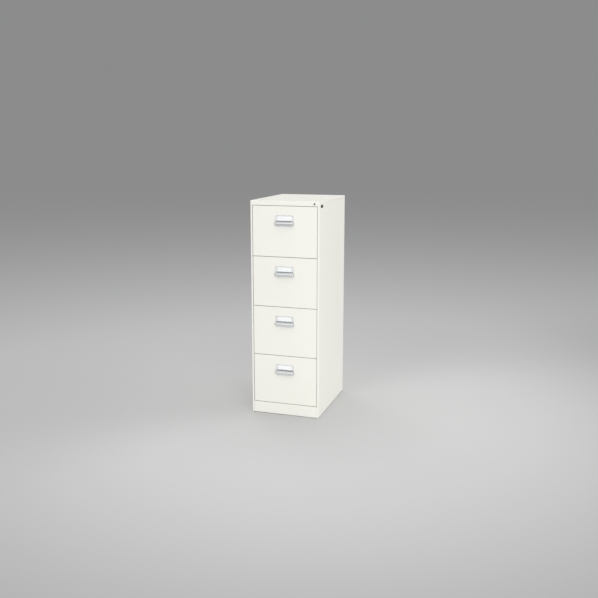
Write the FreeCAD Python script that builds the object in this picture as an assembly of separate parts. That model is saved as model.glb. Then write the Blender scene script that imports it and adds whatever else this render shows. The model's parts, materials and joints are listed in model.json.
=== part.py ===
import FreeCAD, Part
import math
import os

# A steel filing cabinet with four file drawers on roller slides and one lock for all drawers.
# Sizes are in millimetres. X runs to the cabinet's right, Y to its back and Z up.
# The origin is on the floor, under the middle of the whole box, handles and back screws included.

Vector = FreeCAD.Vector
along_x = Vector(1, 0, 0)
along_y = Vector(0, 1, 0)
along_z = Vector(0, 0, 1)

# Case
case_width = 455.0
case_depth = 620.0
case_height = 1400.0
drawer_count = 4
case_sheet = 0.8
fold_radius = 2.0
seam = 0.2
floor_gap = 2.0
skirt_height = 12.0

# Front of the case
stile_width = 12.0
stile_lip_depth = 18.0
header_height = 29.0
plinth_height = 77.0
drawer_gap = 2.5

# Frame inside the case
upright_depth = 15.0
upright_width = 40.0
upright_sheet = 1.5
upright_setback = 34.0
upright_back_room = 4.0
rail_height = 16.0
rail_depth = 30.0
bottom_panel_drop = 7.0
bottom_panel_setback = 20.0
base_rail_width = 50.0
base_rail_bottom = 8.0
base_rail_height = 32.0
base_rail_sheet = 1.5

# Levelling feet
foot_pad_diameter = 40.0
foot_pad_height = 6.0
foot_edge_radius = 1.5
foot_stem_diameter = 10.0
foot_stem_length = 28.0
foot_stem_play = 0.05
foot_side_room = 2.0
foot_inset_y = 55.0

# Back panel screws
screw_head_diameter = 7.0
screw_head_height = 1.5
screw_shank_diameter = 3.5
screw_hole_play = 0.1
screw_tail = 4.0
screws_per_side = 5
screw_end_distance = 100.0

# Drawer boxes
drawer_sheet = 0.8
front_depth = 18.0
front_radius = 1.5
inner_front_play = 0.1
tray_rise = 12.0
tray_head_room = 58.0
tray_back_room = 30.0
hem_width = 9.0
hem_drop = 6.0
tray_flange = 12.0
track_width = 24.0
track_height = 6.0
drawer_back_inset = 8.0
drawer_back_fit = 0.3

# Follower plate, which keeps the files upright
follower_sheet = 1.2
follower_side_play = 5.5
follower_top_room = 45.0
follower_flange = 10.0
follower_foot_width = 120.0
follower_foot_depth = 66.0
follower_play = 0.6
follower_back_room = 20.0

# Roller slides
drawer_travel = 500.0
channel_sheet = 1.5
channel_depth = 8.0
bar_gap = 0.75
bar_thickness = 2.5
bar_height = 30.0
roller_diameter = 35.0
roller_play = 0.4
roller_side_play = 0.6
roller_pin_diameter = 8.0
roller_pin_play = 0.05
roller_pin_tip = 0.3
slide_stop_room = 5.0
slide_setback = 36.0
case_channel_back_room = 14.0
slide_rise = 60.0

# Handle with its label holder
handle_reach = 25.0
handle_width = 126.0
handle_height = 72.0
handle_drop = 57.0
handle_plate = 3.0
handle_corner = 7.0
handle_edge = 0.8
label_width = 94.0
label_height = 28.5
label_drop = 5.0
label_pocket = 1.4
label_lip_diameter = 4.0
label_lip_end_room = 5.0
label_play = 0.4
card_thickness = 0.5
hood_width = 118.0
hood_drop = 40.0
hood_height = 25.0
hood_round = 11.0
hood_undercut = 15.0
hood_wall = 2.0
hood_corner = 9.0
stud_diameter = 5.0
stud_hole_play = 0.2
stud_length = 9.0
stud_spacing = 106.0

# Lock
lock_inset = 31.0
lock_drop = 14.4
lock_bezel_diameter = 19.0
lock_bezel_height = 2.5
lock_bezel_edge = 1.0
lock_body_diameter = 16.0
lock_body_length = 20.0
lock_hole_play = 0.1
lock_plug_diameter = 11.0
lock_plug_play = 0.05
lock_plug_recess = 0.3
keyhole_width = 2.0
keyhole_height = 7.5
keyhole_depth = 6.0
lock_nut_flats = 20.0
lock_nut_height = 4.0
lock_tail_square = 6.0
lock_tail_play = 0.05
lock_tail_head_diameter = 9.0
lock_tail_head_height = 1.2
cam_gap = 0.5
cam_thickness = 2.5
cam_hub_radius = 6.5
cam_tip_radius = 4.0
crank_radius = 8.0
crank_pin_diameter = 4.0
crank_pin_tip = 1.5
crank_start_angle = 225.0
crank_turn = 90.0

# Lock bar, which holds all the drawers
lock_bar_setback = 28.0
lock_bar_thickness = 3.0
lock_bar_width = 8.0
lock_bar_side_room = 2.0
slot_play = 0.6
slot_wall = 3.0
tongue_thickness = 2.0
tongue_height = 18.0
tongue_rise = 200.0
tongue_tail = 7.0
tongue_notch_play = 0.5
tongue_side_play = 1.0
window_play = 1.5
lock_bar_tail = 30.0
guide_height = 20.0
guide_rise = 120.0
guide_play = 0.3
guide_wall = 1.3
guide_front_wall = 2.7

# Plate on the right side
side_plate_length = 42.0
side_plate_height = 18.0
side_plate_thickness = 0.8
side_plate_corner = 2.0
side_plate_inset = 54.5
side_plate_drop = 31.2

# How far a cutting body reaches past what it cuts
cut_room = 1.0

# Places worked out from the sizes above
overall_depth = handle_reach + case_depth + screw_head_height
front_y = handle_reach - overall_depth / 2
back_y = front_y + case_depth
side_x = case_width / 2
skin_x = side_x - case_sheet
inner_fold = max(fold_radius - case_sheet, 0)
opening_x = side_x - stile_width
header_bottom = case_height - header_height
front_x = opening_x - drawer_gap
front_height = (header_bottom - plinth_height - (drawer_count + 1) * drawer_gap) / drawer_count
drawer_pitch = front_height + drawer_gap
back_panel_y = back_y - 2 * case_sheet
floor_back_y = back_panel_y - inner_fold
upright_y = front_y + upright_setback
upright_x = skin_x - upright_depth
slide_room = 2 * channel_depth + 2 * bar_gap + bar_thickness
tray_x = upright_x - slide_room
tray_y = front_y + front_depth
tray_end = back_panel_y - tray_back_room
tray_height = front_height - tray_rise - tray_head_room
bottom_panel_top = plinth_height - bottom_panel_drop
base_rail_top = base_rail_bottom + base_rail_height
side_top = case_height - skirt_height - seam
lock_x = side_x - lock_inset
lock_z = case_height - lock_drop


def block(x0, x1, y0, y1, z0, z1):
    """A square-cornered block."""
    return Part.makeBox(x1 - x0, y1 - y0, z1 - z0, Vector(x0, y0, z0))


def rounded_block(low, high, open_side, radius):
    """A block whose edges are rounded, apart from those round its open side."""
    solid = block(low[0], high[0], low[1], high[1], low[2], high[2])
    if radius <= 0:
        return solid
    axis = "xyz".index(open_side[1])
    level = high[axis] if open_side[0] == "+" else low[axis]
    edges = [edge for edge in solid.Edges if abs(edge.CenterOfMass[axis] - level) > radius / 2]
    return solid.makeFillet(radius, edges)


def pan(low, high, wall, open_side, radius):
    """A folded sheet pan: a block hollowed out from its open side."""
    outer = rounded_block(low, high, open_side, radius)
    inner_low = [value + wall for value in low]
    inner_high = [value - wall for value in high]
    axis = "xyz".index(open_side[1])
    if open_side[0] == "+":
        inner_high[axis] = high[axis] + wall
    else:
        inner_low[axis] = low[axis] - wall
    return outer.cut(rounded_block(inner_low, inner_high, open_side, radius - wall))


def rod(centre, direction, diameter, length):
    """A round bar from its start point."""
    return Part.makeCylinder(diameter / 2, length, Vector(*centre), direction)


def edges_along(solid, direction):
    """The solid's straight edges that run one way."""
    return [edge for edge in solid.Edges if abs(edge.tangentAt(0).dot(direction)) > math.sqrt(0.5)]


def joined(*solids):
    """Solids welded into one."""
    return solids[0].fuse(list(solids[1:])).removeSplitter()


def mirrored(solid):
    """The same solid on the cabinet's other side."""
    return solid.mirror(Vector(0, 0, 0), along_x)


def write(name, *solids):
    """One STEP file per node, which may hold a group of separate solids."""
    shape = solids[0] if len(solids) == 1 else Part.makeCompound(list(solids))
    shape.exportStep("parts/" + name + ".step")


def drawer_bottom(number):
    """The lower edge of a drawer's front; drawer 1 is the top one."""
    return header_bottom - number * drawer_pitch


# Case panels


def screw_heights():
    """Heights of the screws along each side of the back panel."""
    low = floor_gap + screw_end_distance
    high = side_top - screw_end_distance
    step = (high - low) / (screws_per_side - 1)
    return [low + step * count for count in range(screws_per_side)]


def screw_x():
    return side_x - stile_width / 2


def screw_holes():
    """The screw holes through the right rear flange and the back panel."""
    start = back_panel_y - cut_room
    length = back_y - start + cut_room
    diameter = screw_shank_diameter + 2 * screw_hole_play
    return [rod((screw_x(), start, z), along_y, diameter, length) for z in screw_heights()]


def side_panel():
    """The right side: a skin with its front stile, rear flange and end flanges."""
    low = [opening_x, front_y, floor_gap]
    high = [side_x, back_y, side_top]
    panel = pan(low, high, case_sheet, "-x", fold_radius)
    lip = block(
        opening_x,
        opening_x + case_sheet,
        front_y + case_sheet / 2,
        front_y + stile_lip_depth,
        floor_gap,
        header_bottom - seam,
    )
    notch = block(
        opening_x - cut_room,
        side_x + cut_room,
        front_y - cut_room,
        front_y + case_sheet + seam,
        header_bottom - seam,
        case_height,
    )
    return joined(panel, lip).cut([notch] + screw_holes())


def top_panel():
    """The top: a cap with a deep front edge, the header, and shallow side and rear skirts."""
    low = [-side_x, front_y, header_bottom]
    high = [side_x, back_y, case_height]
    cap = pan(low, high, case_sheet, "-z", fold_radius)
    below_skirts = block(
        -side_x - cut_room,
        side_x + cut_room,
        front_y + case_sheet,
        back_y + cut_room,
        header_bottom - cut_room,
        case_height - skirt_height,
    )
    return cap.cut([below_skirts, lock_hole()])


def lock_hole():
    """The round hole for the lock, right through the header and its channel."""
    diameter = lock_body_diameter + 2 * lock_hole_play
    return rod((lock_x, front_y - cut_room, lock_z), along_y, diameter, 2 * case_sheet + 2 * cut_room)


def header_channel():
    """The stiffener behind the header, which also holds the lock."""
    low = [-front_x, front_y + case_sheet, header_bottom]
    high = [front_x, front_y + stile_lip_depth, case_height - case_sheet - inner_fold]
    return pan(low, high, case_sheet, "+y", 0).cut(lock_hole())


def back_panel():
    """The sheet inside the rear flanges, with a tab that closes the gap up to the top."""
    half = skin_x - inner_fold
    y1 = back_panel_y + case_sheet
    sheet_top = side_top - case_sheet - inner_fold
    sheet = block(-half, half, back_panel_y, y1, floor_gap + case_sheet + inner_fold, sheet_top)
    tab_top = case_height - case_sheet - inner_fold
    tab = block(-opening_x, opening_x, back_panel_y, y1, sheet_top - case_sheet, tab_top)
    holes = screw_holes()
    return joined(sheet, tab).cut(holes + [mirrored(hole) for hole in holes])


def bottom_panel():
    """The case's floor, folded down all round and standing on the base rails."""
    low = [-skin_x, front_y + bottom_panel_setback, base_rail_top]
    high = [skin_x, floor_back_y, bottom_panel_top]
    return pan(low, high, case_sheet, "-z", 0)


def plinth_panel():
    """The kick plate between the stiles."""
    low = [-opening_x + seam, front_y, floor_gap]
    high = [opening_x - seam, front_y + stile_lip_depth, plinth_height]
    return pan(low, high, case_sheet, "+y", fold_radius)


def back_screws():
    """Pan-head screws that hold the back panel to both rear flanges."""
    screws = []
    for z in screw_heights():
        head = rod((screw_x(), back_y, z), along_y, screw_head_diameter, screw_head_height)
        rim = [edge for edge in head.Edges if edge.CenterOfMass.y > back_y + screw_head_height / 2]
        head = head.makeFillet(screw_head_height / 2, [edge for edge in rim if edge.Closed])
        shank_length = back_y - back_panel_y + screw_tail
        shank = rod((screw_x(), back_y - shank_length, z), along_y, screw_shank_diameter, shank_length)
        screws.append(joined(head, shank))
    return screws + [mirrored(screw) for screw in screws]


# Frame


def uprights():
    """Four upright channels, which carry the slides."""
    rear_y = back_panel_y - upright_back_room - upright_width
    pair = []
    for y in (upright_y, rear_y):
        low = [upright_x, y, bottom_panel_top]
        high = [skin_x, y + upright_width, side_top - case_sheet - inner_fold]
        pair.append(pan(low, high, upright_sheet, "+x", 0))
    return pair + [mirrored(upright) for upright in pair]


def cross_rails():
    """Channels between the front uprights, behind the gaps between the drawers."""
    rails = []
    for number in range(1, drawer_count):
        centre = drawer_bottom(number) - drawer_gap / 2
        low = [-upright_x, upright_y, centre - rail_height / 2]
        high = [upright_x, upright_y + rail_depth, centre + rail_height / 2]
        rails.append(pan(low, high, case_sheet, "+y", 0))
    return rails


def foot_places():
    """The feet's centres on the right side, front and back."""
    x = opening_x - foot_side_room - foot_pad_diameter / 2
    return [(x, front_y + foot_inset_y), (x, back_y - foot_inset_y)]


def base_rails():
    """Two channels along the floor of the case, with the threaded holes for the feet."""
    low = [skin_x - base_rail_width, front_y + bottom_panel_setback, base_rail_bottom]
    high = [skin_x, floor_back_y, base_rail_top]
    rail = pan(low, high, base_rail_sheet, "+z", 0)
    diameter = foot_stem_diameter + 2 * foot_stem_play
    for x, y in foot_places():
        start = (x, y, base_rail_bottom - cut_room)
        rail = rail.cut(rod(start, along_z, diameter, base_rail_sheet + 2 * cut_room))
    return [rail, mirrored(rail)]


def levelling_feet():
    """Four screw feet."""
    feet = []
    for x, y in foot_places():
        pad = rod((x, y, 0), along_z, foot_pad_diameter, foot_pad_height)
        rims = [edge for edge in pad.Edges if edge.Closed]
        pad = pad.makeFillet(foot_edge_radius, rims)
        stem = rod((x, y, foot_pad_height / 2), along_z, foot_stem_diameter, foot_stem_length)
        feet.append(joined(pad, stem))
    return feet + [mirrored(foot) for foot in feet]


# Roller slides


def slide_height(number):
    """The centre height of a drawer's slides."""
    return drawer_bottom(number) + tray_rise + slide_rise


def channel_inner_height():
    return roller_diameter + 2 * roller_play


def channel(x0, x1, y0, y1, z, open_side):
    """A slide channel: a trough along Y with closed ends, which stop the rollers."""
    half = channel_inner_height() / 2 + channel_sheet
    return pan([x0, y0, z - half], [x1, y1, z + half], channel_sheet, open_side, 0)


def case_channel_ends():
    return front_y + slide_setback, back_panel_y - case_channel_back_room


def drawer_channel_ends():
    return front_y + slide_setback, tray_end


def slide_channels():
    """The channels fixed to the uprights, a pair for each drawer."""
    start, end = case_channel_ends()
    pairs = []
    for number in range(1, drawer_count + 1):
        right = channel(upright_x - channel_depth, upright_x, start, end, slide_height(number), "-x")
        pairs += [right, mirrored(right)]
    return pairs


def drawer_slide_channels(number):
    """The channels fixed to the drawer's sides."""
    start, end = drawer_channel_ends()
    right = channel(tray_x, tray_x + channel_depth, start, end, slide_height(number), "+x")
    return [right, mirrored(right)]


def bar_x():
    """The inner face of the right slide bar, which runs between the two channels."""
    return tray_x + channel_depth + bar_gap


def roller_places():
    """Roller centres along Y: two that run in the case's channel and two in the drawer's."""
    end_room = channel_sheet + roller_diameter / 2 + slide_stop_room
    case_start, case_end = case_channel_ends()
    drawer_start, drawer_end = drawer_channel_ends()
    in_case = [case_start + end_room + drawer_travel / 2, case_end - end_room]
    in_drawer = [drawer_start + end_room, drawer_end - end_room - drawer_travel / 2]
    return in_case, in_drawer


def roller_width():
    return channel_depth + bar_gap - channel_sheet - 2 * roller_side_play


def slide_bars(number):
    """The bars that run between the channels, with their roller pins."""
    in_case, in_drawer = roller_places()
    z = slide_height(number)
    bar = block(
        bar_x(),
        bar_x() + bar_thickness,
        in_drawer[0] - roller_diameter / 2,
        in_case[1] + roller_diameter / 2,
        z - bar_height / 2,
        z + bar_height / 2,
    )
    length = roller_side_play + roller_width() + roller_pin_tip + bar_thickness / 2
    pins = []
    for y in in_case:
        pins.append(rod((bar_x() + bar_thickness / 2, y, z), along_x, roller_pin_diameter, length))
    for y in in_drawer:
        pins.append(rod((bar_x() + bar_thickness / 2, y, z), -along_x, roller_pin_diameter, length))
    right = joined(bar, *pins)
    return [right, mirrored(right)]


def slide_rollers(number):
    """Eight rollers, four on each bar."""
    in_case, in_drawer = roller_places()
    z = slide_height(number)
    outer_face = bar_x() + bar_thickness + roller_side_play
    inner_face = bar_x() - roller_side_play - roller_width()
    places = [(outer_face, y) for y in in_case] + [(inner_face, y) for y in in_drawer]
    rollers = []
    for x, y in places:
        roller = rod((x, y, z), along_x, roller_diameter, roller_width())
        bore_diameter = roller_pin_diameter + 2 * roller_pin_play
        bore = rod((x - cut_room, y, z), along_x, bore_diameter, roller_width() + 2 * cut_room)
        rollers.append(roller.cut(bore))
    return rollers + [mirrored(roller) for roller in rollers]


# Drawers


def stud_places(number):
    """The handle's two fixing studs, in X and Z."""
    z = handle_top(number) - handle_height / 2
    return [(-stud_spacing / 2, z), (stud_spacing / 2, z)]


def handle_top(number):
    return drawer_bottom(number) + front_height - handle_drop


def drawer_front(number):
    """The painted outer front, folded back all round."""
    bottom = drawer_bottom(number)
    low = [-front_x, front_y, bottom]
    high = [front_x, tray_y, bottom + front_height]
    skin = pan(low, high, drawer_sheet, "+y", front_radius)
    diameter = stud_diameter + 2 * stud_hole_play
    length = drawer_sheet + 2 * cut_room
    holes = [rod((x, front_y - cut_room, z), along_y, diameter, length) for x, z in stud_places(number)]
    return skin.cut(holes)


def drawer_inner_front(number):
    """The pan that closes the front from behind, with the tongue that the lock bar holds."""
    z = drawer_bottom(number)
    edge = front_radius + inner_front_play
    low = [-front_x + edge, front_y + drawer_sheet, z + edge]
    high = [front_x - edge, tray_y, z + front_height - edge]
    return pan(low, high, drawer_sheet, "-y", 0)


def lock_tongue(number):
    """A notched tongue behind the inner front, which passes through the lock bar's window."""
    z = tongue_height_centre(number)
    x0 = lock_bar_centre() - tongue_thickness / 2
    x1 = lock_bar_centre() + tongue_thickness / 2
    bar_start = front_y + lock_bar_setback
    bar_end = bar_start + lock_bar_thickness
    low = z - tongue_height / 2
    tongue = block(x0, x1, tray_y, bar_end + tongue_tail, low, z + tongue_height / 2)
    notch_top = low + lock_throw() - window_play + tongue_notch_play
    notch = block(
        x0 - cut_room,
        x1 + cut_room,
        bar_start - tongue_notch_play,
        bar_end + tongue_notch_play,
        low - cut_room,
        notch_top,
    )
    return tongue.cut(notch)


def drawer_tray(number):
    """The folded bottom and sides, with top hems, front flanges and the follower's raised track."""
    floor = drawer_bottom(number) + tray_rise
    top = floor + tray_height
    raised = floor + track_height
    track_x = track_width / 2
    right = [
        block(track_x - drawer_sheet, tray_x, tray_y, tray_end, floor, floor + drawer_sheet),
        block(track_x - drawer_sheet, track_x, tray_y, tray_end, floor, raised),
        block(0, track_x, tray_y, tray_end, raised - drawer_sheet, raised),
        block(tray_x - drawer_sheet, tray_x, tray_y, tray_end, floor, top),
        block(tray_x - hem_width, tray_x, tray_y, tray_end, top - drawer_sheet, top),
        block(tray_x - hem_width, tray_x - hem_width + drawer_sheet, tray_y, tray_end, top - hem_drop, top),
        block(tray_x - tray_flange, tray_x, tray_y, tray_y + drawer_sheet, floor, top),
    ]
    return joined(*right, *[mirrored(part) for part in right])


def drawer_back(number):
    """The flat sheet between the tray's sides at its rear end."""
    floor = drawer_bottom(number) + tray_rise + drawer_sheet
    top = drawer_bottom(number) + tray_rise + tray_height - hem_drop - drawer_back_fit
    inner_x = tray_x - drawer_sheet
    y1 = tray_end - drawer_back_inset
    y0 = y1 - drawer_sheet
    track_x = track_width / 2 + drawer_back_fit
    track_top = drawer_bottom(number) + tray_rise + track_height + drawer_back_fit
    sheet = block(-inner_x, inner_x, y0, y1, floor, top)
    return sheet.cut(block(-track_x, track_x, y0 - cut_room, y1 + cut_room, floor - cut_room, track_top))


def drawer_follower(number):
    """The plate that slides along the track and keeps the files upright, near the drawer's back."""
    tray_floor = drawer_bottom(number) + tray_rise + drawer_sheet
    low = tray_floor + follower_play
    top = drawer_bottom(number) + tray_rise + tray_height - follower_top_room
    half_width = tray_x - drawer_sheet - follower_side_play
    y1 = tray_end - drawer_back_inset - drawer_sheet - follower_back_room
    y0 = y1 - follower_foot_depth
    foot_x = follower_foot_width / 2
    track_x = track_width / 2 + follower_play
    track_top = drawer_bottom(number) + tray_rise + track_height + follower_play
    plate = pan(
        [-half_width, y0, low],
        [half_width, y0 + follower_flange, top],
        follower_sheet,
        "+y",
        0,
    )
    foot = block(-foot_x, foot_x, y0, y1, low, track_top + follower_sheet)
    under_foot = block(
        track_x + follower_sheet,
        foot_x - follower_sheet,
        y0 + follower_sheet,
        y1 + cut_room,
        low - cut_room,
        track_top,
    )
    track = block(-track_x, track_x, y0 - cut_room, y1 + cut_room, low - cut_room, track_top)
    return joined(plate, foot).cut([under_foot, mirrored(under_foot), track])


# Handle


def hood_profile(number, inset):
    """The hood's side outline, drawn in by a wall: a flat top, a round, and a front that leans in."""
    plate_y = front_y - handle_plate
    centre_y = front_y - handle_reach + hood_round
    centre_z = handle_top(number) - hood_drop - hood_round
    lip_z = handle_top(number) - hood_drop - hood_height - inset
    radius = hood_round - inset

    def on_round(degrees):
        angle = math.radians(degrees)
        return Vector(0, centre_y - radius * math.cos(angle), centre_z + radius * math.sin(angle))

    top = on_round(90)
    middle = on_round((90 - hood_undercut) / 2)
    turn = on_round(-hood_undercut)
    lip_y = turn.y + (turn.z - lip_z) * math.tan(math.radians(hood_undercut))
    lip = Vector(0, lip_y, lip_z)
    heel = Vector(0, plate_y, lip_z)
    root = Vector(0, plate_y, top.z)
    edges = [Part.Arc(top, middle, turn).toShape()]
    for start, end in ((turn, lip), (lip, heel), (heel, root), (root, top)):
        edges.append(Part.LineSegment(start, end).toShape())
    return Part.Face(Part.Wire(edges))


def hood_body(number, inset):
    """The hood as a full body, with round ends."""
    half = hood_width / 2 - inset
    face = hood_profile(number, inset)
    face.translate(Vector(-half, 0, 0))
    body = face.extrude(Vector(2 * half, 0, 0))
    plate_y = front_y - handle_plate
    lip_z = body.BoundBox.ZMin
    ends = []
    for edge in body.Edges:
        centre = edge.CenterOfMass
        at_end = abs(abs(centre.x) - half) < hood_wall / 2
        outside = centre.y < plate_y - hood_wall and centre.z > lip_z + hood_wall
        if at_end and outside:
            ends.append(edge)
    return body.makeFillet(hood_corner - inset, ends)


def handle_plate_solid(number):
    """The plate with round corners and a pocket for the label card."""
    top = handle_top(number)
    half = handle_width / 2
    plate = block(-half, half, front_y - handle_plate, front_y, top - handle_height, top)
    plate = plate.makeFillet(handle_corner, edges_along(plate, along_y))
    rim = [edge for edge in plate.Edges if edge.BoundBox.YMax < front_y - handle_plate / 2]
    plate = plate.makeFillet(handle_edge, rim)
    pocket_y = front_y - handle_plate + label_pocket
    pocket = block(
        -label_width / 2,
        label_width / 2,
        front_y - handle_plate - cut_room,
        pocket_y,
        top - label_drop - label_height,
        top - label_drop,
    )
    return plate.cut(pocket)


def label_lips(number):
    """The rolled lips above and below the label card."""
    radius = label_lip_diameter / 2
    x = -handle_width / 2 + label_lip_end_room
    length = handle_width - 2 * label_lip_end_room
    lips = []
    for drop in (label_drop - radius, label_drop + label_height + radius):
        start = (x, front_y - handle_plate, handle_top(number) - drop)
        lips.append(rod(start, along_x, label_lip_diameter, length))
    return lips


def drawer_handle(number):
    """The plated pull: a plate with a label holder, and a hood below it that opens downwards."""
    hood = hood_body(number, 0).cut(hood_body(number, hood_wall))
    studs = []
    for x, z in stud_places(number):
        start = (x, front_y - handle_plate / 2, z)
        studs.append(rod(start, along_y, stud_diameter, stud_length + handle_plate / 2))
    return joined(handle_plate_solid(number), hood, *label_lips(number), *studs)


def label_card(number):
    """The blank card in the label holder."""
    top = handle_top(number) - label_drop - label_play
    half = label_width / 2 - label_play
    pocket_y = front_y - handle_plate + label_pocket
    return block(-half, half, pocket_y - card_thickness, pocket_y, top - label_height + 2 * label_play, top)


# Lock


def lock_throw():
    """How far the crank pin lifts the lock bar."""
    return 2 * crank_radius * math.sin(math.radians(crank_turn / 2))


def lock_housing():
    """The lock's fixed barrel, with a bezel in front of the header."""
    bezel_y = front_y - lock_bezel_height
    bezel = rod((lock_x, bezel_y, lock_z), along_y, lock_bezel_diameter, lock_bezel_height)
    rim = [edge for edge in bezel.Edges if edge.Closed and edge.CenterOfMass.y < bezel_y + lock_bezel_edge]
    bezel = bezel.makeFillet(lock_bezel_edge, rim)
    length = lock_bezel_height / 2 + lock_body_length
    body = rod((lock_x, front_y - lock_bezel_height / 2, lock_z), along_y, lock_body_diameter, length)
    bore_start = (lock_x, bezel_y - cut_room, lock_z)
    bore_length = lock_bezel_height + lock_body_length + 2 * cut_room
    bore = rod(bore_start, along_y, lock_plug_diameter + 2 * lock_plug_play, bore_length)
    return joined(bezel, body).cut(bore)


def lock_nut():
    """The hexagon nut that clamps the lock to the header."""
    corner = lock_nut_flats / math.sqrt(3)
    y = front_y + 2 * case_sheet
    sides = 6
    points = []
    for count in range(sides + 1):
        angle = 2 * math.pi * count / sides
        points.append(Vector(lock_x + corner * math.cos(angle), y, lock_z + corner * math.sin(angle)))
    nut = Part.Face(Part.makePolygon(points)).extrude(Vector(0, lock_nut_height, 0))
    diameter = lock_body_diameter + 2 * lock_hole_play
    return nut.cut(rod((lock_x, y - cut_room, lock_z), along_y, diameter, lock_nut_height + 2 * cut_room))


def cam_y():
    """The front face of the cam."""
    return front_y + lock_body_length + cam_gap


def lock_plug():
    """The turning plug, with its keyhole, square tail and riveted end."""
    start = front_y - lock_bezel_height + lock_plug_recess
    plug = rod((lock_x, start, lock_z), along_y, lock_plug_diameter, cam_y() - start)
    keyhole = block(
        lock_x - keyhole_width / 2,
        lock_x + keyhole_width / 2,
        start - cut_room,
        start + keyhole_depth,
        lock_z - keyhole_height / 2,
        lock_z + keyhole_height / 2,
    )
    half = lock_tail_square / 2
    tail_end = cam_y() + cam_thickness
    tail = block(lock_x - half, lock_x + half, cam_y() - cam_gap, tail_end, lock_z - half, lock_z + half)
    head = rod((lock_x, tail_end, lock_z), along_y, lock_tail_head_diameter, lock_tail_head_height)
    return joined(plug, tail, head).cut(keyhole)


def crank_centre():
    """The crank pin's centre when the cabinet is unlocked, in X and Z."""
    angle = math.radians(crank_start_angle)
    return lock_x + crank_radius * math.cos(angle), lock_z + crank_radius * math.sin(angle)


def lock_cam():
    """The cam on the plug's tail, with the pin that lifts the lock bar."""
    pin_x, pin_z = crank_centre()
    hub = rod((lock_x, cam_y(), lock_z), along_y, 2 * cam_hub_radius, cam_thickness)
    tip = rod((pin_x, cam_y(), pin_z), along_y, 2 * cam_tip_radius, cam_thickness)
    arm = block(0, crank_radius, cam_y(), cam_y() + cam_thickness, -cam_tip_radius, cam_tip_radius)
    arm.rotate(Vector(0, 0, 0), along_y, -crank_start_angle)
    arm.translate(Vector(lock_x, 0, lock_z))
    half = lock_tail_square / 2 + lock_tail_play
    hole_end = cam_y() + cam_thickness + cut_room
    hole = block(lock_x - half, lock_x + half, cam_y() - cut_room, hole_end, lock_z - half, lock_z + half)
    bar_end = front_y + lock_bar_setback + lock_bar_thickness
    pin_start = cam_y() + cam_thickness / 2
    pin = rod((pin_x, pin_start, pin_z), along_y, crank_pin_diameter, bar_end + crank_pin_tip - pin_start)
    return joined(hub, tip, arm, pin).cut(hole)


def lock_bar_centre():
    """The lock bar's centre line, beside the stile's lip."""
    return opening_x - lock_bar_side_room - lock_bar_width / 2


def tongue_height_centre(number):
    return drawer_bottom(number) + tongue_rise


def lock_bar():
    """The flat bar down the right side, with a window for each drawer's tongue and a slotted head."""
    y0 = front_y + lock_bar_setback
    y1 = y0 + lock_bar_thickness
    x0 = lock_bar_centre() - lock_bar_width / 2
    x1 = lock_bar_centre() + lock_bar_width / 2
    pin_x, pin_z = crank_centre()
    slot_half = crank_pin_diameter / 2 + slot_play
    head_low = pin_z - slot_half - slot_wall
    head_high = pin_z + slot_half + slot_wall
    foot = tongue_height_centre(drawer_count) - lock_bar_tail
    bar = block(x0, x1, y0, y1, foot, head_high)
    slot_left = lock_x - crank_radius - slot_half
    head = block(slot_left - slot_wall, x1, y0, y1, head_low, head_high)
    cut_y0 = y0 - cut_room
    cut_y1 = y1 + cut_room
    cuts = [block(slot_left, pin_x + slot_half, cut_y0, cut_y1, pin_z - slot_half, pin_z + slot_half)]
    window_x0 = lock_bar_centre() - tongue_thickness / 2 - tongue_side_play
    window_x1 = lock_bar_centre() + tongue_thickness / 2 + tongue_side_play
    window_z = tongue_height / 2 + window_play
    for number in range(1, drawer_count + 1):
        z = tongue_height_centre(number)
        cuts.append(block(window_x0, window_x1, cut_y0, cut_y1, z - window_z, z + window_z))
    return joined(bar, head).cut(cuts)


def lock_bar_guides():
    """Guides on the front upright, which the lock bar slides in."""
    slot_x = lock_bar_width / 2 + guide_play
    slot_y0 = front_y + lock_bar_setback - guide_play
    slot_y1 = front_y + lock_bar_setback + lock_bar_thickness + guide_play
    centre = lock_bar_centre()
    guides = []
    for number in range(1, drawer_count + 1):
        z = drawer_bottom(number) + guide_rise
        body = block(
            centre - slot_x - guide_wall,
            centre + slot_x + guide_wall,
            slot_y0 - guide_front_wall,
            upright_y,
            z,
            z + guide_height,
        )
        slot_top = z + guide_height + cut_room
        slot = block(centre - slot_x, centre + slot_x, slot_y0, slot_y1, z - cut_room, slot_top)
        guides.append(body.cut(slot))
    return guides


def side_plate():
    """A small blank plate high on the right side."""
    y0 = front_y + side_plate_inset - side_plate_length / 2
    y1 = y0 + side_plate_length
    z0 = case_height - side_plate_drop - side_plate_height / 2
    z1 = z0 + side_plate_height
    plate = block(side_x, side_x + side_plate_thickness, y0, y1, z0, z1)
    return plate.makeFillet(side_plate_corner, edges_along(plate, along_x))


os.makedirs("parts", exist_ok=True)

right_side = side_panel()
write("right_side_panel", right_side)
write("left_side_panel", mirrored(right_side))
write("top_panel", top_panel())
write("header_channel", header_channel())
write("back_panel", back_panel())
write("bottom_panel", bottom_panel())
write("plinth_panel", plinth_panel())
write("back_screws", *back_screws())
write("uprights", *uprights())
write("cross_rails", *cross_rails())
write("base_rails", *base_rails())
write("levelling_feet", *levelling_feet())
write("slide_channels", *slide_channels())
write("side_plate", side_plate())
write("lock_housing", lock_housing())
write("lock_nut", lock_nut())
write("lock_plug", lock_plug())
write("lock_cam", lock_cam())
write("lock_bar", lock_bar())
write("lock_bar_guides", *lock_bar_guides())

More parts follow.
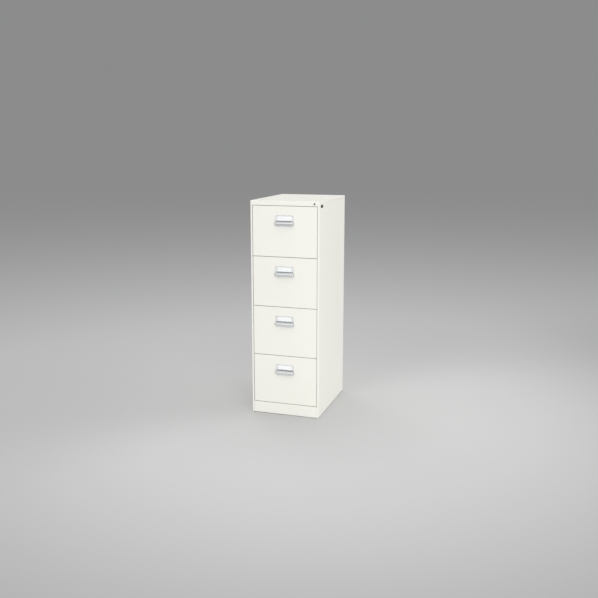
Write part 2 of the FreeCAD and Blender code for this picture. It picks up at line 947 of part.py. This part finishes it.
for number in range(1, drawer_count + 1):
    drawer = "drawer_" + str(number) + "_"
    write(drawer + "front", drawer_front(number))
    write(drawer + "inner_front", drawer_inner_front(number), lock_tongue(number))
    write(drawer + "tray", drawer_tray(number))
    write(drawer + "back", drawer_back(number))
    write(drawer + "follower", drawer_follower(number))
    write(drawer + "handle", drawer_handle(number))
    write(drawer + "label_card", label_card(number))
    write(drawer + "slide_channels", *drawer_slide_channels(number))
    write(drawer + "slide_bars", *slide_bars(number))
    write(drawer + "slide_rollers", *slide_rollers(number))
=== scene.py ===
import json
import math

import bmesh
import bpy
from mathutils import Matrix, Vector


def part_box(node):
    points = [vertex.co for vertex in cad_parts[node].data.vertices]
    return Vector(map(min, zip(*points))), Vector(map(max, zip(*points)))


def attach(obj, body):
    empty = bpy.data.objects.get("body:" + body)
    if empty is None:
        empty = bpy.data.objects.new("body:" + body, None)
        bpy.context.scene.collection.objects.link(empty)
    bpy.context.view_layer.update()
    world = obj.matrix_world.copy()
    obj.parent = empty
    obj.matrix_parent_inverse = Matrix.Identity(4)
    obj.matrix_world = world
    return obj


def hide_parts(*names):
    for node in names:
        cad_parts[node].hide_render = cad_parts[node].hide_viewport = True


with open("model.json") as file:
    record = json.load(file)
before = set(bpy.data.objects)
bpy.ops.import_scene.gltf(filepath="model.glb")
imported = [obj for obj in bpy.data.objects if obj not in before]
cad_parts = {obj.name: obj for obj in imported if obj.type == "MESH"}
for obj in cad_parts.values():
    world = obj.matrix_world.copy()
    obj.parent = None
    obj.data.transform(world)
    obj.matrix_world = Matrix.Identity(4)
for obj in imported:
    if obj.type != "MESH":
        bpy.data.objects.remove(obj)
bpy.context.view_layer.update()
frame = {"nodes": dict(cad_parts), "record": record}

# The looks of a steel filing cabinet: ivory enamel, plated pulls, roller slides and a lock.
# Lengths are in metres. X runs to the cabinet's right, Y to its back and Z up.


def grey(value):
    return (value, value, value, 1.0)


def shade(red, green, blue):
    return (red, green, blue, 1.0)


# Colours of the enamel
case_ivory = shade(0.86, 0.856, 0.795)
case_ivory_drift = shade(0.845, 0.838, 0.772)
drawer_ivory = shade(0.86, 0.857, 0.795)
drawer_ivory_drift = shade(0.848, 0.842, 0.775)
follower_grey = shade(0.50, 0.505, 0.50)
follower_grey_drift = shade(0.46, 0.462, 0.455)
speck_brown = shade(0.60, 0.57, 0.49)
# Lighter ivory for folds and edges: part rubbed paint, part painted highlight
rubbed_and_highlit_ivory = shade(0.93, 0.925, 0.88)
# Painted shade for the gaps between parts
gap_shade_brown = shade(0.24, 0.22, 0.18)

# Colours of the plating and the black oxide
zinc_blue = shade(0.56, 0.575, 0.60)
zinc_yellow = shade(0.62, 0.61, 0.575)
zinc_flake = shade(0.72, 0.73, 0.74)
chrome_polished = shade(0.91, 0.93, 0.935)
chrome_satin_dark = shade(0.89, 0.905, 0.905)
chrome_satin_light = shade(0.94, 0.955, 0.955)
chrome_smudge = shade(0.80, 0.815, 0.82)
# Painted shade for the creases of the pulls
chrome_crease_shade = shade(0.17, 0.178, 0.176)
oxide_dark = shade(0.014, 0.014, 0.015)
oxide_light = shade(0.03, 0.03, 0.031)
oxide_worn = shade(0.28, 0.28, 0.27)

# Colours of the card and the plastics
card_white = shade(0.93, 0.948, 0.95)
card_toned = shade(0.90, 0.91, 0.90)
card_fibre = shade(0.80, 0.79, 0.76)
nylon_pale = shade(0.80, 0.79, 0.74)
nylon_toned = shade(0.72, 0.70, 0.63)
nylon_edge = shade(0.55, 0.53, 0.48)
moulding_black = shade(0.008, 0.008, 0.009)
moulding_dust = shade(0.16, 0.155, 0.145)
moulding_edge = shade(0.06, 0.06, 0.06)

# Handle plates: satin on their faces, polished on all that stands in front of them
plate_thickness = 0.003
plate_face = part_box("drawer_1_front")[0].y - plate_thickness
all_polished = plate_face - 0.0018
all_satin = plate_face - 0.0004

# Back panel screws: a cross recess is given by the length and half the width of its arms
screw_head_radius = 0.0035
screw_head_height = 0.0015
screw_head_round = 0.00075
screw_head_steps = 6
screw_shank_radius = 0.00175
screw_tip_radius = screw_shank_radius * 0.7
screw_tip_length = 0.0006
screw_segments = 40
screws_per_side = 5
recess_mouth = (0.0021, 0.00045)
recess_floor = (0.0013, 0.00030)
recess_depth = 0.0011
first_turn = 0.4
turn_by_row = 1.1
turn_by_side = 0.6

# Camera
camera_place = Vector((1.5632, -4.8713, 1.7658))
camera_yaw = 0.3106
camera_pitch = -0.2016
camera_lens = 46.55
camera_sensor = 36.0
camera_reach = 200.0

# Surroundings: grey paper behind the cabinet and to its left, and a white room in front of it.
# paper_edge says how far a direction agrees with paper_side where the paper starts and where it
# is full, and ceiling_edge how high a direction points where the ceiling does.
paper_grey = shade(0.262, 0.262, 0.264)
room_white = shade(0.95, 0.955, 0.965)
ceiling_white = shade(0.98, 0.985, 0.995)
paper_side = Vector((-0.766, 0.643, 0.0))
paper_edge = (-0.35, 0.40)
ceiling_edge = (0.05, 0.6)
ambient_light = 0.75

# Floor: each metre towards the paper keeps a share of its grey, paper_fade, and the other fades
# are given by the distances from the cabinet's middle at which they start and end.
floor_grey = grey(0.70)
floor_dark = grey(0.38)
floor_half = 60.0
floor_cells = 8
paper_fade = 0.80
dark_fade = (1.0, 3.5)
white_fade = (4.0, 14.0)
glow_fade = (0.8, 3.0)
matt_dimming = 0.17

# Lamps: place, point looked at, width, height and power in watts
soft_boxes = {
    "key_soft_box": ((3.0, -5.2, 1.7), (0.0, 0.0, 0.8), 3.0, 2.2, 164.0),
    "side_soft_box": ((4.6, 0.8, 1.4), (0.2, 0.0, 0.8), 2.4, 2.0, 24.0),
    "top_soft_box": ((0.1, 0.3, 4.3), (0.0, 0.2, 1.4), 2.2, 2.2, 34.0),
    "back_soft_box": ((-3.4, 3.6, 1.7), (0.0, 0.0, 0.7), 2.4, 2.0, 60.0),
}

# The sockets of a Mix node that mixes two colours
mix_amount, mix_first, mix_second, mix_result = 0, 6, 7, 2


class Wire:
    """A shader node's output, on which plain arithmetic can be written."""

    def __init__(self, finish, socket):
        self.finish = finish
        self.socket = socket

    def maths(self, operation, first, second):
        return self.finish.node("ShaderNodeMath", {"operation": operation}, {0: first, 1: second})

    def __add__(self, other):
        return self.maths("ADD", self, other)

    def __radd__(self, other):
        return self.maths("ADD", other, self)

    def __sub__(self, other):
        return self.maths("SUBTRACT", self, other)

    def __rsub__(self, other):
        return self.maths("SUBTRACT", other, self)

    def __mul__(self, other):
        return self.maths("MULTIPLY", self, other)

    def __rmul__(self, other):
        return self.maths("MULTIPLY", other, self)

    def __rpow__(self, other):
        return self.maths("POWER", other, self)


class Finish:
    """A surface finish in the making: its node tree, and the method that adds any shader node."""

    def __init__(self, name, tree=None):
        if tree is None:
            self.material = bpy.data.materials.new(name)
            self.material.use_nodes = True
            tree = self.material.node_tree
        self.tree = tree
        self.tree.nodes.clear()

    def node(self, kind, settings=None, sockets=None, output=0):
        """Adds a node: its settings come first, then the values or wires of its sockets."""
        node = self.tree.nodes.new(kind)
        for name, value in (settings or {}).items():
            setattr(node, name, value)
        for name, value in (sockets or {}).items():
            if isinstance(value, Wire):
                self.tree.links.new(value.socket, node.inputs[name])
            else:
                node.inputs[name].default_value = value
        return Wire(self, node.outputs[output]) if len(node.outputs) else node

    def place(self, stretch=(1.0, 1.0, 1.0)):
        """The point on the piece, in metres, squeezed or stretched along the three axes."""
        point = self.node("ShaderNodeTexCoord", output="Object")
        return self.node("ShaderNodeMapping", {}, {"Vector": point, "Scale": stretch})

    def noise(self, scale, detail=2.0, roughness=0.5, stretch=(1.0, 1.0, 1.0)):
        sockets = {"Vector": self.place(stretch), "Scale": scale, "Detail": detail, "Roughness": roughness}
        return self.node("ShaderNodeTexNoise", {}, sockets)

    def cells(self, scale, output="Distance"):
        sockets = {"Vector": self.place(), "Scale": scale}
        return self.node("ShaderNodeTexVoronoi", {"feature": "F1"}, sockets, output)

    def ramp(self, value, low, high, start=0.0, end=1.0):
        """The value's course from low to high, given as a number from start to end."""
        sockets = {"Value": value, "From Min": low, "From Max": high, "To Min": start, "To Max": end}
        return self.node("ShaderNodeMapRange", {"interpolation_type": "SMOOTHSTEP"}, sockets)

    def mixed(self, amount, first, second):
        """Two colours, mixed by an amount from 0 to 1."""
        sockets = {mix_amount: amount, mix_first: first, mix_second: second}
        return self.node("ShaderNodeMix", {"data_type": "RGBA"}, sockets, mix_result)

    def along(self, first, second):
        """How far two directions agree: 1 for the same way and 0 for a right angle."""
        return self.node("ShaderNodeVectorMath", {"operation": "DOT_PRODUCT"}, {0: first, 1: second}, "Value")

    def edges(self, width):
        """Where the surface bends sharply: 1 on an edge and 0 on a flat."""
        rounded = self.node("ShaderNodeBevel", {"samples": 6}, {"Radius": width})
        flat = self.node("ShaderNodeNewGeometry", output="Normal")
        return self.ramp(1 - self.along(rounded, flat), low=0.01, high=0.22)

    def hollows(self, reach, own_only, low, high):
        """Where a surface stands close in front: 1 deep in a hollow and 0 in the open.

        low and high say how open such places are, and own_only leaves out other pieces' surfaces.
        """
        settings = {"samples": 8, "only_local": own_only}
        openness = self.node("ShaderNodeAmbientOcclusion", settings, {"Distance": reach}, "AO")
        return self.ramp(openness, low, high, start=1.0, end=0.0)

    def bump(self, height, strength, distance, normal=None):
        sockets = {"Height": height, "Strength": strength, "Distance": distance}
        if normal is not None:
            sockets["Normal"] = normal
        return self.node("ShaderNodeBump", {}, sockets)

    def done(self, **sockets):
        """Closes the material with its main shader; a keyword such as Base_Color is a socket's name."""
        named = {name.replace("_", " "): value for name, value in sockets.items()}
        shader = self.node("ShaderNodeBsdfPrincipled", {}, named)
        self.node("ShaderNodeOutputMaterial", {}, {"Surface": shader})
        return self.material


# Finishes


def ivory_enamel(name, colour, drift_colour):
    """Baked enamel on folded sheet: orange peel, a slow drift in tone, folds lighter from wear and painted
    highlight, and painted shade in the gaps.
    """
    finish = Finish(name)
    peel = finish.noise(scale=430.0, detail=1.5)
    ripple = finish.noise(scale=9.0)
    grain = finish.noise(scale=240.0)
    drift = finish.ramp(finish.noise(scale=2.3, detail=3.0), low=0.3, high=0.7)
    smears = finish.noise(scale=14.0, detail=5.0, roughness=0.6, stretch=(1.0, 1.0, 0.45))
    smears = finish.ramp(smears, low=0.45, high=0.75)
    specks = finish.ramp(finish.cells(scale=900.0), low=0.0, high=0.09, start=1.0, end=0.0)
    speck_patches = finish.ramp(finish.noise(scale=60.0, detail=1.0), low=0.58, high=0.7)
    # Folds and edges lighter in patches: part rubbed paint, part painted highlight where they catch light
    edge_patches = finish.ramp(finish.noise(scale=45.0, detail=4.0), low=0.35, high=0.75)
    rubbed_and_highlit = finish.edges(width=0.0012) * edge_patches
    # Painted shade: the enamel turns dark brown where other parts stand close, deepening the gaps between
    # drawers
    gap_shade = finish.hollows(reach=0.010, own_only=False, low=0.30, high=0.65)
    base = finish.mixed(drift * 0.5, colour, drift_colour)
    base = finish.mixed(specks * speck_patches * 0.18, base, speck_brown)
    base = finish.mixed(rubbed_and_highlit * 0.35, base, rubbed_and_highlit_ivory)
    base = finish.mixed(gap_shade * 0.75, base, gap_shade_brown)
    gloss = 0.44 + 0.07 * smears + 0.05 * grain - 0.05 * rubbed_and_highlit
    surface = finish.bump(peel, strength=0.22, distance=0.0005)
    surface = finish.bump(ripple, strength=0.05, distance=0.004, normal=surface)
    return finish.done(Base_Color=base, Roughness=gloss, Normal=surface, Specular_IOR_Level=0.3)


def zinc_plate(name):
    """Zinc-plated steel: pale flakes, draw lines along the piece and a faint blue and yellow bloom."""
    finish = Finish(name)
    flakes = finish.cells(scale=170.0, output="Color")
    flake = finish.node("ShaderNodeSeparateColor", {}, {"Color": flakes})
    draw_lines = finish.noise(scale=900.0, stretch=(1.0, 0.02, 1.0))
    bloom = finish.ramp(finish.noise(scale=22.0, detail=3.0), low=0.35, high=0.7)
    base = finish.mixed(bloom, zinc_blue, zinc_yellow)
    base = finish.mixed(flake * 0.22, base, zinc_flake)
    gloss = 0.30 + 0.12 * flake + 0.10 * bloom + 0.06 * draw_lines
    surface = finish.bump(draw_lines, strength=0.10, distance=0.0002)
    return finish.done(Base_Color=base, Metallic=1.0, Roughness=gloss, Normal=surface)


def chrome_plate(name):
    """Polished plating, satin on the flat plates, with smudges, hairlines and painted shade in its creases.
    """
    finish = Finish(name)
    smudges = finish.ramp(finish.noise(scale=70.0, detail=4.0, roughness=0.55), low=0.42, high=0.72)
    hairlines = finish.noise(scale=1500.0, detail=1.0, stretch=(0.015, 1.0, 1.0))
    brushed = finish.noise(scale=1900.0, roughness=0.6, stretch=(0.02, 1.0, 1.0))
    waves = finish.noise(scale=55.0, detail=1.0)
    # Painted shade: the chrome turns dark in its creases, less so on faces that point sideways
    facing = finish.node("ShaderNodeNewGeometry", output="Normal")
    sideways = finish.along(facing, (1.0, 0.0, 0.0))
    crease_shade_share = finish.ramp(sideways * sideways, low=0.2, high=0.8, start=1.0, end=0.25)
    crease_shade = finish.hollows(reach=0.012, own_only=True, low=0.38, high=0.92) * crease_shade_share
    depth = finish.node("ShaderNodeSeparateXYZ", {}, {"Vector": finish.place()}, "Y")
    satin = finish.ramp(depth, all_polished, all_satin)
    plate = finish.mixed(finish.ramp(brushed, low=0.3, high=0.7), chrome_satin_dark, chrome_satin_light)
    base = finish.mixed(satin, chrome_polished, plate)
    base = finish.mixed(smudges * 0.25, base, chrome_smudge)
    base = finish.mixed(crease_shade * 0.8, base, chrome_crease_shade)
    gloss = 0.09 + 0.30 * satin + 0.08 * smudges + 0.03 * hairlines + 0.15 * crease_shade
    surface = finish.bump(hairlines, strength=0.03, distance=0.0001)
    surface = finish.bump(brushed * satin, strength=0.12, distance=0.0001, normal=surface)
    surface = finish.bump(waves, strength=0.03, distance=0.0008, normal=surface)
    return finish.done(Base_Color=base, Metallic=1.0 - 0.5 * satin, Roughness=gloss, Normal=surface)


def blackened_steel(name):
    """The lock plug's face: black oxide under oil, worn bright by the key round the keyhole."""
    finish = Finish(name)
    grain = finish.noise(scale=1300.0, detail=3.0, roughness=0.6)
    turned = finish.noise(scale=420.0, stretch=(1.0, 0.05, 1.0))
    worn = finish.edges(width=0.0006) * finish.ramp(finish.noise(scale=300.0), low=0.4, high=0.7)
    base = finish.mixed(finish.ramp(turned, low=0.35, high=0.7), oxide_dark, oxide_light)
    base = finish.mixed(worn * 0.5, base, oxide_worn)
    surface = finish.bump(grain, strength=0.12, distance=0.0001)
    return finish.done(Base_Color=base, Roughness=0.34 + 0.16 * turned, Normal=surface)


def label_paper(name):
    """Smooth white card with short fibres and slightly toned edges."""
    finish = Finish(name)
    fibres = finish.noise(scale=2600.0, detail=3.0, roughness=0.6, stretch=(0.35, 1.0, 1.0))
    clouds = finish.ramp(finish.noise(scale=55.0, detail=3.0), low=0.35, high=0.7)
    toned = clouds * 0.5 + finish.edges(width=0.0008) * 0.3
    base = finish.mixed(toned, card_white, card_toned)
    base = finish.mixed(finish.ramp(fibres, low=0.62, high=0.75) * 0.25, base, card_fibre)
    surface = finish.bump(fibres, strength=0.15, distance=0.0001)
    return finish.done(Base_Color=base, Roughness=0.75 + 0.1 * fibres, Normal=surface)


def roller_nylon(name):
    """Moulded nylon: waxy, a little uneven, and darker at its edges."""
    finish = Finish(name)
    clouds = finish.ramp(finish.noise(scale=90.0, detail=3.0), low=0.3, high=0.7)
    grain = finish.noise(scale=1400.0)
    base = finish.mixed(clouds, nylon_pale, nylon_toned)
    base = finish.mixed(finish.edges(width=0.0008) * 0.4, base, nylon_edge)
    surface = finish.bump(grain, strength=0.08, distance=0.0002)
    return finish.done(Base_Color=base, Roughness=0.38 + 0.14 * clouds, Normal=surface)


def black_moulding(name, dust, shine):
    """Black plastic with a spark-eroded grain, greyer where dust has settled."""
    finish = Finish(name)
    grain = finish.noise(scale=1100.0, detail=3.0, roughness=0.6)
    dusty = finish.ramp(finish.noise(scale=40.0, detail=4.0), low=0.4, high=0.75)
    base = finish.mixed(dusty * dust, moulding_black, moulding_dust)
    base = finish.mixed(finish.edges(width=0.0008) * 0.3, base, moulding_edge)
    gloss = 0.46 + 0.2 * dusty
    surface = finish.bump(grain, strength=0.25, distance=0.0002)
    return finish.done(Base_Color=base, Roughness=gloss, Normal=surface, Specular_IOR_Level=shine)


finishes = {
    "case_paint": ivory_enamel("case_enamel", case_ivory, case_ivory_drift),
    "drawer_paint": ivory_enamel("drawer_enamel", drawer_ivory, drawer_ivory_drift),
    "follower_paint": ivory_enamel("follower_enamel", follower_grey, follower_grey_drift),
    "zinc_steel": zinc_plate("zinc_plate"),
    "chrome": chrome_plate("chrome_plate"),
    "lock_black": blackened_steel("blackened_steel"),
    "card": label_paper("label_paper"),
    "nylon": roller_nylon("roller_nylon"),
    "foot_plastic": black_moulding("foot_plastic", dust=0.7, shine=0.25),
    "black_plastic": black_moulding("side_plastic", dust=0.08, shine=0.05),
}

for subpart in frame["record"]["subparts"]:
    node = frame["nodes"][subpart["node"]]
    node.data.materials.clear()
    node.data.materials.append(finishes[subpart["material_slot"]])


# Back panel screws


def cross_outline(arm_length, arm_width, turn):
    """The twelve corners of a cross recess, turned by an angle."""
    corners = []
    for quarter in range(4):
        swing = Matrix.Rotation(turn + quarter * math.pi / 2, 2)
        for across, up in ((arm_length, -arm_width), (arm_length, arm_width), (arm_width, arm_width)):
            corners.append(swing @ Vector((across, up)))
    return corners


def round_outline(radius):
    steps = [2 * math.pi * step / screw_segments for step in range(screw_segments)]
    return [Vector((radius * math.cos(step), radius * math.sin(step))) for step in steps]


def screw_row(metal, outline, middle, height):
    """One closed row of a screw's corners, at a height above the back panel."""
    return [metal.verts.new(middle + Vector((corner.x, height, corner.y))) for corner in outline]


def screw_skin(metal, lower, upper, smooth=False):
    """The faces between two rows with equal numbers of corners."""
    for index, corner in enumerate(lower):
        after = (index + 1) % len(lower)
        metal.faces.new((corner, lower[after], upper[after], upper[index])).smooth = smooth


def row_edges(metal, row):
    return [metal.edges.get((corner, row[index - 1])) for index, corner in enumerate(row)]


def screw(metal, middle, shank_length, turn):
    """A pan-head screw with a tapered cross recess. Its middle lies on the back panel's face."""
    tip = screw_row(metal, round_outline(screw_tip_radius), middle, -shank_length)
    shank_end = screw_row(metal, round_outline(screw_shank_radius), middle, screw_tip_length - shank_length)
    neck = screw_row(metal, round_outline(screw_shank_radius), middle, 0.0)
    seat = screw_row(metal, round_outline(screw_head_radius), middle, 0.0)
    metal.faces.new(tip)
    screw_skin(metal, tip, shank_end)
    screw_skin(metal, shank_end, neck, smooth=True)
    screw_skin(metal, neck, seat)
    rim = seat
    for step in range(screw_head_steps + 1):
        angle = math.pi / 2 * step / screw_head_steps
        radius = screw_head_radius - screw_head_round * (1 - math.cos(angle))
        height = screw_head_height - screw_head_round * (1 - math.sin(angle))
        dome = screw_row(metal, round_outline(radius), middle, height)
        screw_skin(metal, rim, dome, smooth=True)
        rim = dome
    mouth = screw_row(metal, cross_outline(*recess_mouth, turn), middle, screw_head_height)
    floor = screw_row(metal, cross_outline(*recess_floor, turn), middle, screw_head_height - recess_depth)
    screw_skin(metal, floor, mouth)
    metal.faces.new(floor)
    bmesh.ops.triangle_fill(metal, use_beauty=True, edges=row_edges(metal, rim) + row_edges(metal, mouth))
    for edge in row_edges(metal, seat) + row_edges(metal, neck):
        edge.smooth = False


def cross_head_screws():
    """The ten screws of the back panel, each stopped at its own angle."""
    low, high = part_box("back_screws")
    face = high.y - screw_head_height
    first = low.z + screw_head_radius
    rise = (high.z - screw_head_radius - first) / (screws_per_side - 1)
    metal = bmesh.new()
    for side, across in enumerate((low.x + screw_head_radius, high.x - screw_head_radius)):
        for row in range(screws_per_side):
            middle = Vector((across, face, first + row * rise))
            screw(metal, middle, face - low.y, first_turn + turn_by_row * row + turn_by_side * side)
    bmesh.ops.recalc_face_normals(metal, faces=metal.faces)
    mesh = bpy.data.meshes.new("cross_head_screws")
    metal.to_mesh(mesh)
    metal.free()
    mesh.materials.append(finishes["zinc_steel"])
    screws = bpy.data.objects.new("cross_head_screws", mesh)
    bpy.context.scene.collection.objects.link(screws)
    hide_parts("back_screws")
    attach(screws, "case")


cross_head_screws()


# Studio


def studio_floor():
    """A wide floor: matt round the cabinet, and painted like the paper and the room far from it."""
    mesh = bpy.data.meshes.new("studio_floor")
    sheet = bmesh.new()
    bmesh.ops.create_grid(sheet, x_segments=floor_cells, y_segments=floor_cells, size=floor_half)
    sheet.to_mesh(mesh)
    sheet.free()
    floor = bpy.data.objects.new("studio_floor", mesh)
    bpy.context.scene.collection.objects.link(floor)
    finish = Finish("studio_floor")
    point = finish.node("ShaderNodeTexCoord", output="Object")
    distance = finish.node("ShaderNodeVectorMath", {"operation": "LENGTH"}, {0: point}, "Value")
    direction = finish.node("ShaderNodeVectorMath", {"operation": "NORMALIZE"}, {0: point})
    behind = finish.ramp(finish.along(direction, paper_side), *paper_edge)
    paper_floor = finish.mixed(1 - paper_fade**distance, floor_grey, paper_grey)
    room_floor = finish.mixed(finish.ramp(distance, *dark_fade), floor_grey, floor_dark)
    room_floor = finish.mixed(finish.ramp(distance, *white_fade), room_floor, room_white)
    colour = finish.mixed(behind, room_floor, paper_floor)
    matt_colour = finish.mixed(matt_dimming, colour, grey(0.0))
    matt = finish.node("ShaderNodeBsdfDiffuse", {}, {"Color": matt_colour})
    glow = finish.node("ShaderNodeEmission", {}, {"Color": colour, "Strength": 1.0})
    far = finish.ramp(distance, *glow_fade)
    surface = finish.node("ShaderNodeMixShader", {}, {0: far, 1: matt, 2: glow})
    finish.node("ShaderNodeOutputMaterial", {}, {"Surface": surface})
    mesh.materials.append(finish.material)


def studio_air():
    """Even light from all round; the camera, metal and glass see the paper and the room instead."""
    world = bpy.data.worlds.new("studio")
    world.use_nodes = True
    bpy.context.scene.world = world
    air = Finish("studio", world.node_tree)
    seen = air.node("ShaderNodeLightPath", output="Is Camera Ray")
    for ray in ("Is Glossy Ray", "Is Transmission Ray"):
        seen = seen.maths("MAXIMUM", seen, air.node("ShaderNodeLightPath", output=ray))
    direction = air.node("ShaderNodeTexCoord", output="Generated")
    height = air.node("ShaderNodeSeparateXYZ", {}, {"Vector": direction}, "Z")
    room = air.mixed(air.ramp(height, *ceiling_edge), room_white, ceiling_white)
    behind = air.ramp(air.along(direction, paper_side), *paper_edge)
    colour = air.mixed(seen, grey(ambient_light), air.mixed(behind, room, paper_grey))
    light = air.node("ShaderNodeBackground", {}, {"Color": colour, "Strength": 1.0})
    air.node("ShaderNodeOutputWorld", {}, {"Surface": light})


def soft_box(name, place, aim, width, height, power):
    """A large, soft lamp that looks at a point."""
    lamp = bpy.data.lights.new(name, "AREA")
    lamp.shape = "RECTANGLE"
    lamp.size = width
    lamp.size_y = height
    lamp.energy = power
    box = bpy.data.objects.new(name, lamp)
    box.visible_glossy = False
    box.location = place
    box.rotation_euler = (Vector(aim) - Vector(place)).to_track_quat("-Z", "Y").to_euler()
    bpy.context.scene.collection.objects.link(box)


def photograph_camera():
    """The camera, at the photograph's place and angle."""
    data = bpy.data.cameras.new("camera")
    data.lens = camera_lens
    data.sensor_width = camera_sensor
    data.clip_end = camera_reach
    camera = bpy.data.objects.new("camera", data)
    camera.location = camera_place
    level = math.cos(camera_pitch)
    forward = Vector((-math.sin(camera_yaw) * level, math.cos(camera_yaw) * level, math.sin(camera_pitch)))
    camera.rotation_euler = forward.to_track_quat("-Z", "Y").to_euler()
    bpy.context.scene.collection.objects.link(camera)
    bpy.context.scene.camera = camera


studio_floor()
studio_air()
for name, settings in soft_boxes.items():
    soft_box(name, *settings)
photograph_camera()
bpy.context.scene.view_settings.view_transform = "Standard"
